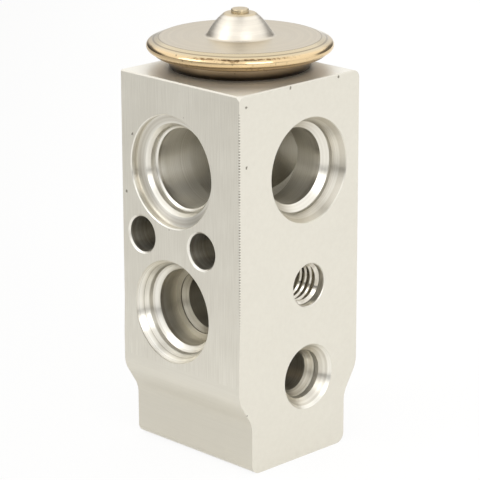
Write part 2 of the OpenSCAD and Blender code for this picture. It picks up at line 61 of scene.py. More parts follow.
mounts = {mount["name"]: mount for mount in frame["record"]["mounts"]}
MM = 0.001

# %% [markdown]
# The places that the finishes follow
# A turned port is shiny and ringed, while the face round it is milled or sawn. To tell them
# apart, the finishes need the block's faces and the ports' axes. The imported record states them
# as mounts, so they are read from there and not typed again.

# %% Read the faces and the axes
block_low, block_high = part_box("valve_body")
head_low, head_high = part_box("upper_cover")
face_y = mounts["evaporator_face"]["pos_m"][1]
face_x = mounts["pipe_face"]["pos_m"][0]
outlet_z = mounts["evaporator_outlet_port"]["pos_m"][2]
inlet_z = mounts["evaporator_inlet_port"]["pos_m"][2]
suction_z = mounts["suction_port"]["pos_m"][2]
liquid_z = mounts["liquid_port"]["pos_m"][2]
bolts_z = mounts["block_bolts"]["pos_m"][2]
middle_y = (block_low.y + block_high.y) / 2
head_r = (head_high.x - head_low.x) / 2
print("block from", tuple(block_low), "to", tuple(block_high))

# %% [markdown]
# The camera
# The photograph was solved from the block's straight edges and the round port rims. The lens is
# long, about 185 mm, and it stands 450 mm away, a little above the block and turned half-way
# between its two drilled faces. The picture was cropped off-centre, which is what the shift is.

# %% Place the camera
AIM = Vector((2.4, -2.4, 35.0)) * MM
AZIMUTH = math.radians(45.407)
ELEVATION = math.radians(17.397)
ROLL = math.radians(-0.170)
DISTANCE = 450.165 * MM
FOCAL_PIXELS = 2472.167
CENTRE_PIXELS = (240.557, 256.934)
FRAME_PIXELS = 480

turn = (
    Matrix.Rotation(AZIMUTH, 4, "Z")
    @ Matrix.Rotation(math.pi / 2 - ELEVATION, 4, "X")
    @ Matrix.Rotation(ROLL, 4, "Z")
)
lens = bpy.data.cameras.new("portrait_camera")
lens.lens = FOCAL_PIXELS * lens.sensor_width / FRAME_PIXELS
lens.shift_x = (FRAME_PIXELS / 2 - CENTRE_PIXELS[0]) / FRAME_PIXELS
lens.shift_y = (CENTRE_PIXELS[1] - FRAME_PIXELS / 2) / FRAME_PIXELS
camera = bpy.data.objects.new("portrait_camera", lens)
bpy.context.collection.objects.link(camera)
camera.matrix_world = Matrix.Translation(AIM + turn.to_3x3() @ Vector((0, 0, DISTANCE))) @ turn
bpy.context.scene.camera = camera
right = turn.to_3x3() @ Vector((1, 0, 0))
front = Vector((math.sin(AZIMUTH), -math.cos(AZIMUTH), 0))
print("camera at", tuple(round(v, 4) for v in camera.matrix_world.translation))

# %% [markdown]
# A tool for colours
# A finish is picked as a hex colour, as a paint chart gives it, but the shader counts light
# linearly. Working the linear numbers out by hand would hide which colour was meant, so one
# small function turns the one into the other.

# %% Turn a hex colour into light
def linear(code):
    """A hex colour such as "#c8c5b6" as the linear RGBA that a shader takes."""
    channels = [int(code[i:i + 2], 16) / 255 for i in (1, 3, 5)]
    return [c / 12.92 if c <= 0.04045 else ((c + 0.055) / 1.055) ** 2.4 for c in channels] + [1]


print("mid grey #808080 is", [round(channel, 3) for channel in linear("#808080")])

# %% [markdown]
# A tool for materials
# A finish is a chain of nodes. Adding each by hand takes five lines, so one function adds a
# node, fills it and hands on its result, and a finish then reads from its first pattern to its
# surface.

# %% Add nodes to a material
def add(tree, kind, *values, out=None, **named):
    """Adds a node. values fill its sockets in order. A small first letter names a setting, and
    a capital a socket. Gives back the output called out, or else the first one if it has any."""
    node = tree.nodes.new("ShaderNode" + kind)
    for name, value in named.items():
        if name[0].islower():
            setattr(node, name, value)
    filled = list(zip([socket for socket in node.inputs if socket.enabled], values))
    filled += [(node.inputs[n.replace("_", " ")], v) for n, v in named.items() if n[0].isupper()]
    for socket, value in filled:
        if isinstance(value, bpy.types.NodeSocket):
            tree.links.new(value, socket)
        else:
            socket.default_value = value
    return node.outputs[out] if out else next((o for o in node.outputs if o.enabled), None)


def new_material(name):
    """An empty material and its node tree."""
    material = bpy.data.materials.new(name)
    material.use_nodes = True
    material.node_tree.nodes.clear()
    return material, material.node_tree


print("materials before:", len(bpy.data.materials))

# %% [markdown]
# The stage
# The photograph is plain white all round. The floor is a pale sheet that catches the valve's
# soft shadow. What the camera and the metal's reflections see of it is lifted close to white,
# which puts no more light on the sheet itself and leaves the shadow in it. The sheet is painted
# greyer away to the left, a painted shade for the weaker light there, and the face on that side
# mirrors it.

# %% Lay the floor
SEEN_GLOW = 0.87
MIRRORED_GLOW = 0.4
# How far left of the valve, in metres, the sheet's painted shade starts, and where it is full
GREY_FROM, GREY_TO = -0.03, 0.20
bpy.ops.object.select_all(action="DESELECT")
bpy.ops.mesh.primitive_plane_add(size=8, location=(0, 0, 0))
floor = bpy.context.object
floor.name = "floor"
paper, tree = new_material("white card")
spot = add(tree, "TexCoord", out="Object")
leftward = add(tree, "VectorMath", spot, tuple(-right), operation="DOT_PRODUCT", out="Value")
painted_shade_left = add(tree, "MapRange", leftward, GREY_FROM, GREY_TO, 0.0, 1.0,
    interpolation_type="SMOOTHSTEP")
# Painted shade: the card's tone turns grey towards the left, standing in for less light there
tone = add(tree, "Mix", painted_shade_left, linear("#f4f3f0"), linear("#9b9994"), data_type="RGBA")
card = add(tree, "BsdfPrincipled", Base_Color=tone, Roughness=0.9)
glow = add(tree, "Emission", Color=linear("#ffffff"), Strength=1.0)
rays = add(tree, "LightPath").node.outputs
mirrored = add(tree, "Math", rays["Is Glossy Ray"], rays["Is Transmission Ray"],
    operation="MAXIMUM")
shown = add(tree, "Math", rays["Is Camera Ray"], SEEN_GLOW, operation="MULTIPLY")
shown = add(tree, "Math", mirrored, MIRRORED_GLOW, shown, operation="MULTIPLY_ADD")
add(tree, "OutputMaterial", add(tree, "MixShader", shown, card, glow))
floor.data.materials.append(paper)
print("floor laid")

# %% [markdown]
# The light
# The valve stood on a table in a tent of white cloth, between two soft lamps. Polished metal
# shows its surroundings, so the tent matters as much as the lamps. It could be built of planes,
# but they would have to be kept out of the picture, while the world can carry the same light
# with nothing in the way. It starts as a ramp of brightness from the floor up to the tent's
# top, where the cloth ends in a dark hole.

# %% Hang the tent
# A height on the ramp, 0.5 at the horizon and 1 overhead, and the brightness there
TENT = ((0.00, 0.95), (0.50, 0.88), (0.60, 1.00), (0.75, 1.25), (0.98, 1.25), (0.993, 0.25))
world = bpy.data.worlds.new("white tent")
world.use_nodes = True
tree = world.node_tree
tree.nodes.clear()
towards = add(tree, "TexCoord", out="Generated")
height = add(tree, "SeparateXYZ", towards, out="Z")
tent = add(tree, "ValToRGB", add(tree, "Math", height, 0.5, 0.5, operation="MULTIPLY_ADD"))
ramp = tent.node.color_ramp
while len(ramp.elements) < len(TENT):
    ramp.elements.new(0.5)
for element, (place, level) in zip(ramp.elements, TENT):
    element.position = place
    element.color = (level, level, level, 1)
print("tent:", len(ramp.elements), "levels of brightness")

# %% [markdown]
# The tent's two sides
# Near the horizon the cloth on the left is dimmer than on the right, so that the valve's left
# face mirrors less light. A share of brightness follows how far to the side a direction looks,
# and fades to an even 1 higher up.

# %% Dim the tent's left side
LEFT_SHARE = 0.30
RIGHT_SHARE = 1.22
# How far to the side the shares are full, and how high up they have faded, for a unit direction
SIDE_REACH = 0.8
SIDE_TOP = 0.35
sideways = add(tree, "VectorMath", towards, tuple(right), operation="DOT_PRODUCT", out="Value")
side = add(tree, "MapRange", sideways, -SIDE_REACH, SIDE_REACH, LEFT_SHARE, RIGHT_SHARE,
    interpolation_type="SMOOTHSTEP")
low = add(tree, "MapRange", height, SIDE_TOP, 0.0, 0.0, 1.0)
side = add(tree, "Mix", low, 1.0, side)
print("left side", LEFT_SHARE, "and right side", RIGHT_SHARE, "of the tent's light")

# %% [markdown]
# The tent's openings
# The metal also mirrors where the cloth is open: a low gap ahead, where the photographer stood,
# and the tent's two corners behind. Each is a soft-edged patch, found by its direction, and the
# darker one wins where they meet.

# %% Open the tent
GAP_DARK = 0.80
CORNER_DARK = 0.82
# The height at which each opening ends, and the one below which it is fully open
GAP_TOP = (0.14, 0.06)
CORNER_TOP = (0.45, 0.33)
ahead = add(tree, "VectorMath", towards, tuple(front), operation="DOT_PRODUCT", out="Value")
gap = add(tree, "MapRange", ahead, 0.3, 0.85, 0.0, GAP_DARK, interpolation_type="SMOOTHSTEP")
under_gap = add(tree, "MapRange", height, *GAP_TOP, 0.0, 1.0)
gap = add(tree, "Math", gap, under_gap, operation="MULTIPLY")
corner = add(tree, "Math", sideways, operation="ABSOLUTE")
corner = add(tree, "Math", corner, ahead, operation="MULTIPLY")
corner = add(tree, "MapRange", corner, -0.15, -0.40, 0.0, CORNER_DARK,
    interpolation_type="SMOOTHSTEP")
under_corner = add(tree, "MapRange", height, *CORNER_TOP, 0.0, 1.0)
corner = add(tree, "Math", corner, under_corner, operation="MULTIPLY")
dark = add(tree, "Math", gap, corner, operation="MAXIMUM")
lit = add(tree, "Math", 1.0, dark, operation="SUBTRACT")
share = add(tree, "Math", side, lit, operation="MULTIPLY")
add(tree, "OutputWorld", add(tree, "Background", tent, share))
bpy.context.scene.world = world
print("the gap takes", GAP_DARK, "and the corners", CORNER_DARK, "of the light there")

# %% [markdown]
# The lamps
# Two large soft boxes stand at the valve's sides and leave no hard shadow. Each is an area lamp
# of half a metre, weak beside the tent, and gives its side of the valve a little more form.

# %% Set the lamps
def soft_lamp(name, place, size, watts):
    """A square lamp at place that shines at the valve's middle."""
    data = bpy.data.lights.new(name, "AREA")
    data.size = size
    data.energy = watts
    lamp = bpy.data.objects.new(name, data)
    lamp.location = place
    lamp.rotation_euler = (AIM - Vector(place)).to_track_quat("-Z", "Y").to_euler()
    bpy.context.collection.objects.link(lamp)


soft_lamp("right_lamp", (0.80, -0.30, 0.45), 0.5, 1.5)
soft_lamp("left_lamp", (-0.31, -0.74, 0.60), 0.5, 1.3)
bpy.context.scene.view_settings.view_transform = "Standard"

# %% [markdown]
# The block's aluminium
# The block is 6000-series aluminium, cut from an extruded bar. Each tool leaves its own finish:
# the die leaves streaks along the bar on the waist and foot, the milling cutter leaves upright
# lines on the evaporator face, the saw and the tumbling drum leave the pipe face matt with a
# few pits, and the boring tools leave bright rings in the ports. It could be five materials on
# five sets of faces, but one material can choose by where a point lies, which keeps every mark
# at its real size. It grows over the next cells.

# %% Start the block's finish
block_finish, tree = new_material("extruded aluminium, milled and bored")
place = add(tree, "TexCoord", out="Object")
x, y, z = (add(tree, "SeparateXYZ", place, out=axis) for axis in "XYZ")
normal = add(tree, "NewGeometry", out="Normal")
facing_x, facing_z = (add(tree, "SeparateXYZ", normal, out=axis) for axis in "XZ")
print("started", block_finish.name)

# %% [markdown]
# Bored walls
# A point inside the block's outline can only be on a wall that a tool bored, so the six faces
# are tested one by one. The foot is narrower than the block, so its skin is inside the outline
# too, and is taken out again. The band at the top holds the edge breaks and the seal's gland.

# %% Find the bored walls
# How near to a face a point still counts as on it
SKIN = 0.03 * MM
TOP_BAND = 1.6 * MM
FOOT_TOP = 16 * MM
FOOT_HALF = 11.7 * MM
off_middle = add(tree, "Math", y, middle_y, operation="SUBTRACT")
off_middle = add(tree, "Math", off_middle, operation="ABSOLUTE")
beside = add(tree, "Math", off_middle, FOOT_HALF, operation="GREATER_THAN")
below = add(tree, "Math", z, FOOT_TOP, operation="LESS_THAN")
foot_skin = add(tree, "Math", below, beside, operation="MULTIPLY")
bored = add(tree, "Math", 1.0, foot_skin, operation="SUBTRACT")
for value, limit, side in (
        (x, face_x - SKIN, "LESS_THAN"), (x, block_low.x + SKIN, "GREATER_THAN"),
        (y, block_high.y - SKIN, "LESS_THAN"), (y, face_y + SKIN, "GREATER_THAN"),
        (z, block_high.z - TOP_BAND, "LESS_THAN"), (z, block_low.z + SKIN, "GREATER_THAN")):
    within = add(tree, "Math", value, limit, operation=side)
    bored = add(tree, "Math", bored, within, operation="MULTIPLY")
unbored = add(tree, "Math", 1.0, bored, operation="SUBTRACT")
print("the walls lie inside x", block_low.x, "to", face_x, "and y", face_y, "to", block_high.y)

# %% [markdown]
# Ports
# The boring tool's rings run round each port's own axis. A bored point belongs to the pipe
# ports when it lies far enough towards that face, and to the evaporator ports otherwise, and
# the bolt holes' height parts the upper ports from the lower. From that follow its distance
# from the axis and its depth. Past the reach of the widest port there are no rings.

# %% Find each port's axis
# The pipe ports' walls lie past this x and this y
PIPE_SIDE = (7.4 * MM, -11 * MM)
PORT_REACH = 10 * MM
past_x = add(tree, "Math", x, PIPE_SIDE[0], operation="GREATER_THAN")
past_y = add(tree, "Math", y, PIPE_SIDE[1], operation="GREATER_THAN")
pipe_side = add(tree, "Math", past_x, past_y, operation="MULTIPLY")
above_bolts = add(tree, "Math", z, bolts_z, operation="GREATER_THAN")
evaporator_z = add(tree, "Mix", above_bolts, inlet_z, outlet_z)
pipe_z = add(tree, "Mix", above_bolts, liquid_z, suction_z)
axis_z = add(tree, "Mix", pipe_side, evaporator_z, pipe_z)
rise = add(tree, "Math", z, axis_z, operation="SUBTRACT")
across = add(tree, "Mix", pipe_side, x, y)
depth = add(tree, "Mix", pipe_side, y, x)
radius = add(tree, "CombineXYZ", across, rise)
radius = add(tree, "VectorMath", radius, operation="LENGTH", out="Value")
in_port = add(tree, "Math", radius, PORT_REACH, operation="LESS_THAN")
wide_port = add(tree, "Math", above_bolts, in_port, operation="MULTIPLY")
radius = add(tree, "Math", radius, in_port, operation="MULTIPLY")
ring_place = add(tree, "CombineXYZ", radius, depth)
print("port axes at z", [round(level, 4) for level in (outlet_z, inlet_z, suction_z, liquid_z)])

# %% [markdown]
# Mouths and the way light spreads
# A port's first few millimetres are finished with a fine cut, shinier than the bore behind
# them, and in the narrow ports also brighter, because the bore behind is painted darker as
# painted shade. The tool's grooves run round the bore, so a lamp's reflection is drawn out
# across them, along the bore. Anisotropy does that, and it needs a tangent: the direction round
# the axis gives it, crossed with the normal.

# %% Find the mouths and the tangent
# The fine cut reaches the first depth in full and ends at the second
MOUTH_DEPTH = (4 * MM, 6 * MM)
inset_y = add(tree, "Math", y, face_y, operation="SUBTRACT")
inset_x = add(tree, "Math", face_x, x, operation="SUBTRACT")
inset = add(tree, "Mix", pipe_side, inset_y, inset_x)
mouth = add(tree, "MapRange", inset, MOUTH_DEPTH[1], MOUTH_DEPTH[0], 0.0, 1.0)
minus_across = add(tree, "Math", 0.0, across, operation="SUBTRACT")
minus_rise = add(tree, "Math", 0.0, rise, operation="SUBTRACT")
round_y = add(tree, "CombineXYZ", rise, 0.0, minus_across)
round_x = add(tree, "CombineXYZ", 0.0, minus_rise, across)
around = add(tree, "Mix", pipe_side, round_y, round_x, data_type="VECTOR")
spread = add(tree, "VectorMath", normal, around, operation="CROSS_PRODUCT")
print("the fine cut fades out between", MOUTH_DEPTH, "m")

# %% [markdown]
# Tool marks
# Every tool leaves the same mark again and again along its way. Noise that is stretched along
# that way and squeezed across it looks so, and its steps are the tool's own. The real cutter
# and boring bar step about 0.1 mm, too fine for the picture, so their marks are drawn about
# twice as coarse.

# %% Lay the tool marks
def tool_marks(tree, where, steps, **settings):
    """Noise that changes over each of steps, in metres, along x, y and z."""
    stretched = add(tree, "Mapping", where, Scale=tuple(1 / step for step in steps))
    return add(tree, "TexNoise", stretched, Scale=1.0, **settings)


milled = tool_marks(tree, place, (0.25 * MM, 1.0, 7 * MM), Detail=3.0, Roughness=0.6)
drawn = tool_marks(tree, place, (18 * MM, 0.6 * MM, 0.4 * MM), Detail=3.0, Roughness=0.6)
turned = tool_marks(tree, ring_place, (0.2 * MM, 0.2 * MM, 1.0), Detail=3.0, Roughness=0.7)
tumbled = add(tree, "TexNoise", place, Scale=1 / (0.9 * MM), Detail=3.0, Roughness=0.6)
cloud = add(tree, "TexNoise", place, Scale=1 / (9 * MM), Detail=2.0, Roughness=0.5)
print("marks: milled, drawn, turned, tumbled")

# %% [markdown]
# Which tool marked a point
# The cutter milled the evaporator face down to the waist, below which the die's streaks show.
# The two sides that face along the bar were sawn and then tumbled.

# %% Choose the marks
MILLED_DOWN_TO = 17 * MM
SIDE_ON = 0.9
low = add(tree, "Math", z, MILLED_DOWN_TO, operation="LESS_THAN")
sawn = add(tree, "Math", facing_x, operation="ABSOLUTE")
sawn = add(tree, "Math", sawn, SIDE_ON, operation="GREATER_THAN")
top = add(tree, "Math", facing_z, SIDE_ON, operation="GREATER_THAN")
top = add(tree, "Math", top, bored, operation="SUBTRACT")
marks = add(tree, "Mix", low, milled, drawn)
marks = add(tree, "Mix", sawn, marks, tumbled)
marks = add(tree, "Mix", bored, marks, turned)
smooth = add(tree, "Math", sawn, low, operation="MAXIMUM")
print("the cutter stopped at z", MILLED_DOWN_TO)

# %% [markdown]
# Dents
# The block was knocked in a few places. Scattered dents would do for a new block, but these
# are seen in the photograph, so each is listed. Its edge is where the distance from its
# middle, made ragged by a little noise, passes its radius.

# %% Knock in the dents
# A dent's slope starts and ends at these shares of its radius
DENT_SLOPE = (1.3, 0.5)
# A point on a face and the dent's radius, in millimetres
DENTS = (
    ((17.4, -15.7, 67.9), 0.26), ((17.4, -15.7, 57.2), 0.24), ((17.4, 7.2, 69.4), 0.22),
    ((17.4, -4.9, 69.6), 0.20), ((17.4, -15.6, 11.8), 0.18), ((-9.8, -17.4, 58.7), 0.26),
    ((-11.6, -17.4, 47.8), 0.22), ((-0.6, -14.2, 10.2), 0.22),
)
ragged = add(tree, "TexNoise", place, Scale=1 / (0.4 * MM), Detail=2.0)
ragged = add(tree, "Math", ragged, 0.5, operation="SUBTRACT")
ragged = add(tree, "Math", ragged, 0.9 * MM, operation="MULTIPLY")
dents = 0.0
for knock, size in DENTS:
    knock = tuple(part * MM for part in knock)
    rim, floor_r = (share * size * MM for share in DENT_SLOPE)
    away = add(tree, "VectorMath", place, knock, operation="DISTANCE", out="Value")
    away = add(tree, "Math", away, ragged, operation="ADD")
    dent = add(tree, "MapRange", away, rim, floor_r, 0.0, 0.8)
    dents = add(tree, "Math", dents, dent, operation="MAXIMUM")
print("dents:", len(DENTS))

# %% [markdown]
# Pits
# Tumbling among the other blocks leaves smaller pits anywhere on the outside. A Voronoi texture
# puts one point in each of its cells, and a pit is sunk at about half of them. The bored walls
# have neither pits nor dents.

# %% Scatter the pits
PIT_CELL = 4 * MM
# As a share of a cell: where a pit's slope starts, and where its floor does
PIT_SLOPE = (0.045, 0.025)
PIT_SHARE = 0.45
cells = add(tree, "TexVoronoi", place, Scale=1 / PIT_CELL, Randomness=1.0)
chance = add(tree, "SeparateColor", cells.node.outputs["Color"], out="Red")
chosen = add(tree, "Math", chance, 1 - PIT_SHARE, operation="GREATER_THAN")
pits = add(tree, "MapRange", cells, *PIT_SLOPE, 0.0, 0.5)
pits = add(tree, "Math", pits, chosen, operation="MULTIPLY")
pits = add(tree, "Math", pits, dents, operation="MAXIMUM")
pits = add(tree, "Math", pits, unbored, operation="MULTIPLY")
print("pits: at most one in each cell of", PIT_CELL, "m")

# %% [markdown]
# The burr on the front corner
# Where the cutter left the evaporator face it pushed up a burr along the corner, one tooth for
# each step of its feed. A sine along the height gives the teeth, and the distance from the
# corner's edge keeps them to a strip. The real strip is 0.1 mm wide, too fine for the picture,
# and is drawn about twice as wide.

# %% Raise the burr
BURR_PITCH = 0.5 * MM
# The heights where the burr starts, is full, and ends
BURR_FROM = 27 * MM
BURR_FULL = 37 * MM
BURR_TO = 67 * MM
# How far from the corner's edge the strip ends, and where it is full
BURR_STRIP = (0.27 * MM, 0.16 * MM)
to_edge = add(tree, "CombineXYZ",
    add(tree, "Math", x, face_x, operation="SUBTRACT"),
    add(tree, "Math", y, face_y, operation="SUBTRACT"))
to_edge = add(tree, "VectorMath", to_edge, operation="LENGTH", out="Value")
strip = add(tree, "MapRange", to_edge, *BURR_STRIP, 0.0, 0.85)
teeth = add(tree, "Math", z, math.tau / BURR_PITCH, operation="MULTIPLY")
teeth = add(tree, "Math", teeth, operation="SINE")
teeth = add(tree, "MapRange", teeth, -0.2, 0.6, 0.0, 1.0)
patchy = add(tree, "TexNoise", place, Scale=1 / (2 * MM), Detail=2.0)
patchy = add(tree, "MapRange", patchy, 0.35, 0.6, 0.3, 1.0)
burr = add(tree, "MapRange", z, BURR_FROM, BURR_FULL, 0.0, 1.0)
for share in (add(tree, "Math", z, BURR_TO, operation="LESS_THAN"), patchy, strip):
    burr = add(tree, "Math", burr, share, operation="MULTIPLY")
print("burr teeth:", round((BURR_TO - BURR_FROM) / BURR_PITCH))

# %% [markdown]
# The outside's colour
# Bare aluminium is a warm, pale grey. The marks and a slow cloud shift it a little, less on
# the sawn and drawn skin than on the milled face. Below the waist the skin is painted a shade
# darker towards the bottom, as painted shade, except on the sawn sides.

# %% Colour the outside
# Below the first height the foot's painted shade is full, and above the second there is none
FOOT_FADE = (10 * MM, 16 * MM)
worn = add(tree, "Math", cloud, 0.5, marks, operation="MULTIPLY_ADD")
worn = add(tree, "MapRange", worn, 0.5, 1.0, 0.0, 1.0)
calm = add(tree, "MapRange", worn, 0.0, 1.0, 0.35, 0.65)
even = add(tree, "Math", smooth, bored, operation="SUBTRACT")
worn = add(tree, "Mix", even, worn, calm)
skin = add(tree, "Mix", worn, linear("#dedacf"), linear("#eae7dd"), data_type="RGBA")
# A darker copy of the skin, laid low on the block as painted shade
painted_shade_skin = add(tree, "Mix", worn, linear("#d3cfc3"), linear("#dedacf"), data_type="RGBA")
foot = add(tree, "MapRange", z, FOOT_FADE[1], FOOT_FADE[0], 0.0, 1.0,
    interpolation_type="SMOOTHSTEP")
foot = add(tree, "Math", foot, sawn, operation="SUBTRACT", use_clamp=True)
skin = add(tree, "Mix", foot, skin, painted_shade_skin, data_type="RGBA")
print("the foot's tone fades in between", FOOT_FADE, "m")

# %% [markdown]
# The bored walls' colour
# The narrow ports' walls are painted darker than the wide evaporator outlet's, as painted
# shade for the dimmer light deep in them, and the mouths are left out of it. Each mouth has
# brighter rings from its fine cut, and a few dark grooves are painted where the tool stepped,
# as painted shade in them.

# %% Colour the bored walls
unshaded = add(tree, "Mix", worn, linear("#d3cdbe"), linear("#eeebe1"), data_type="RGBA")
# Painted shade: the narrow ports' walls take this darker colour, for the dimmer light deep in
# them
painted_shade_wall = add(tree, "Mix", worn, linear("#b6b0a0"), linear("#d0ccc0"), data_type="RGBA")
outlet = add(tree, "Math", wide_port, pipe_side, operation="SUBTRACT", use_clamp=True)
wall = add(tree, "Mix", outlet, painted_shade_wall, unshaded, data_type="RGBA")
rings = tool_marks(tree, ring_place, (0.8 * MM, 0.8 * MM, 1.0))
rings = add(tree, "MapRange", rings, 0.4, 0.6, 0.0, 1.0)
fresh = add(tree, "Mix", rings, linear("#d3cec2"), linear("#efece3"), data_type="RGBA")
# Painted shade: thin dark rings in the mouths, for the shade in the tool's grooves
grooves = tool_marks(tree, ring_place, (0.45 * MM, 0.45 * MM, 1.0))
grooves = add(tree, "MapRange", grooves, 0.38, 0.32, 0.0, 0.55)
fresh = add(tree, "Mix", grooves, fresh, linear("#8d8779"), data_type="RGBA")
wall = add(tree, "Mix", mouth, wall, fresh, data_type="RGBA")
print("walls: clean in the outlet, oiled elsewhere, fresh in the mouths")

# %% [markdown]
# The block's colour
# Now the two meet, and what lies on the outside goes over them: the burr, its teeth painted
# bright as painted highlight and its gaps dark as painted shade, the dents and pits, painted
# dark as painted shade in their hollows, and the faces that look up, painted a little brighter
# as painted light from above.

# %% Put the colours together
colour = add(tree, "Mix", bored, skin, wall, data_type="RGBA")
# Painted highlight and painted shade: bright teeth and dark gaps stand in for the burr's relief
edge = add(tree, "Mix", teeth, linear("#8b8678"), linear("#f7f5ee"), data_type="RGBA")
colour = add(tree, "Mix", burr, colour, edge, data_type="RGBA")
# Painted shade: dents and pits are painted dark, for the shade in their hollows
colour = add(tree, "Mix", pits, colour, linear("#6d6658"), data_type="RGBA")
# Painted light: faces that look up are painted a little brighter, for the light from above
colour = add(tree, "Mix", top, colour, linear("#f1eee5"), data_type="RGBA")
print("dents and pits cover the burr, and the burr covers the skin")

# %% [markdown]
# Roughness and relief
# The outside scatters light widely, a bore less, and a mouth's fine cut least of all. The marks
# also stand up: about 1 micrometre from the saw, the drum and the die, and 4 from the mill. The
# boring bar's are drawn 24 high, taller than real, because they are drawn coarser too.

# %% Set roughness and relief
OUTSIDE_ROUGH, TOP_ROUGH = 0.52, 0.44
BORE_ROUGH, WIDE_BORE_ROUGH, MOUTH_ROUGH = 0.34, 0.44, 0.27
SMOOTH_HIGH, MILLED_HIGH, BORED_HIGH = 1e-6, 4e-6, 24e-6
PIT_DEEP = 60e-6
bore_rough = add(tree, "Mix", wide_port, BORE_ROUGH, WIDE_BORE_ROUGH)
bore_rough = add(tree, "Mix", mouth, bore_rough, MOUTH_ROUGH)
rough = add(tree, "Mix", bored, add(tree, "Mix", top, OUTSIDE_ROUGH, TOP_ROUGH), bore_rough)
rough = add(tree, "Math", cloud, 0.08, rough, operation="MULTIPLY_ADD")
tall = add(tree, "Mix", smooth, MILLED_HIGH, SMOOTH_HIGH)
tall = add(tree, "Mix", bored, tall, BORED_HIGH)
relief = add(tree, "Math", marks, tall, operation="MULTIPLY")
relief = add(tree, "Math", pits, -PIT_DEEP, relief, operation="MULTIPLY_ADD")
relief = add(tree, "Bump", 1.0, 1.0, Height=relief)
print("roughness from", MOUTH_ROUGH, "to", OUTSIDE_ROUGH)

# %% [markdown]
# The block's surface
# Two metal shaders share all of this. Only the bored one spreads its light, because the
# direction round a port means nothing on the outside, and the two are mixed by place.

# %% Make the block's surface
skin_metal = add(tree, "BsdfPrincipled",
    Base_Color=colour, Metallic=1.0, Roughness=rough, Normal=relief)
bored_metal = add(tree, "BsdfPrincipled",
    Base_Color=colour, Metallic=1.0, Roughness=rough, Normal=relief,
    Tangent=spread, Anisotropic=0.75)
add(tree, "OutputMaterial", add(tree, "MixShader", bored, skin_metal, bored_metal))
print("made", block_finish.name, "with", len(tree.nodes), "nodes")

# %% [markdown]
# The power head's steel
# The covers are drawn from stainless sheet. Polishing them on a spindle leaves rings round the
# axis. Welding the rim heated its edge until the oxide turned straw and then amber, and the
# skirt under it kept a brown tint. The tint could be painted on the mesh, but it follows the
# distance from the axis, wandering a little as heat does, and a few nodes say just that.

# %% Find the rings and the heat
def round_the_axis(tree):
    """A point's place, its x, y and z, and its distance from the valve's axis."""
    place = add(tree, "TexCoord", out="Object")
    x, y, z = (add(tree, "SeparateXYZ", place, out=axis) for axis in "XYZ")
    radius = add(tree, "CombineXYZ", x, y)
    radius = add(tree, "VectorMath", radius, operation="LENGTH", out="Value")
    return place, x, y, z, radius


def spun_patterns(tree):
    """What the head's finishes follow, each by its name."""
    place, x, y, z, radius = round_the_axis(tree)
    ring_place = add(tree, "CombineXYZ", radius, z)
    rings = tool_marks(tree, ring_place, (0.3 * MM, 0.4 * MM, 1.0), Detail=3.0, Roughness=0.6)
    cloud = add(tree, "TexNoise", place, Scale=1 / (5 * MM), Detail=3.0, Roughness=0.6)
    grit = add(tree, "TexNoise", place, Scale=1 / (0.7 * MM), Detail=2.0, Roughness=0.6)
    wander = add(tree, "Math", cloud, 0.5, operation="SUBTRACT")
    heat = add(tree, "Math", wander, 1.0 * MM, radius, operation="MULTIPLY_ADD")
    around = add(tree, "CombineXYZ", add(tree, "Math", 0.0, y, operation="SUBTRACT"), x, 0.0)
    return {
        "place": place, "z": z, "radius": radius, "rings": rings, "cloud": cloud, "grit": grit,
        "heat": heat, "around": around, "normal": add(tree, "NewGeometry", out="Normal"),
    }


print("head radius:", head_r)

# %% [markdown]
# The heat's colours
# From the axis out, the cover goes from bare steel through straw to amber. The dome is painted
# brighter as a painted highlight, and its crown is tanned by the plug's weld. One colour is
# laid over another, in the order in which the steel got its tints.

# %% Colour by heat
# How far in from the head's edge each tint starts, and where it is full
STRAW = (2.5 * MM, 2.0 * MM)
AMBER = (1.1 * MM, 0.3 * MM)
# The radii between which the dome's painted highlight comes in
DOME = (6.6 * MM, 5.6 * MM)
# How far below the head's top the crown's tan starts, and where it is full
CROWN = (0.35 * MM, 0.15 * MM)


def heat_colours(tree, spun, plain, straw, amber, polish_and_painted_light):
    """The heat's colours over plain steel; polish_and_painted_light, from 0 to 1, paints the dome
    brighter as a painted highlight.
    """
    strawed, ambered = (
        add(tree, "MapRange", spun["heat"], head_r - start, head_r - full, 0.0, 1.0)
        for start, full in (STRAW, AMBER))
    # Painted highlight: the dome is painted brighter
    dome = add(tree, "MapRange", spun["radius"], *DOME, 0.0, polish_and_painted_light)
    crown = add(tree, "MapRange", spun["z"],
        head_high.z - CROWN[0], head_high.z - CROWN[1], 0.0, 0.9)
    worn = add(tree, "MapRange", spun["rings"], 0.35, 0.65, 0.0, 0.12)
    colour = add(tree, "Mix", strawed, linear(plain), linear(straw), data_type="RGBA")
    for share, tint in (
            (ambered, amber), (dome, "#ebe4d7"), (crown, "#cdbd9e"), (worn, "#7a756d")):
        colour = add(tree, "Mix", share, colour, linear(tint), data_type="RGBA")
    return colour, strawed, dome


print("straw starts at radius", head_r - STRAW[0], "and amber at", head_r - AMBER[0])

# %% [markdown]
# The rim's dark lines
# Two thin dark lines are painted round the rim as painted shade: one where the cover leaves the
# flat disc, and one along the inner side of the rolled edge. The rolled form is in the solid,
# but its own shade is faint at the picture's size, so the lines are laid over the colour.

# %% Draw the rim's lines
# How far in from the head's edge each line runs, how wide it is, and how strong
RIM_LINES = ((2.24 * MM, 0.16 * MM, 0.5), (1.3 * MM, 0.24 * MM, 0.55))


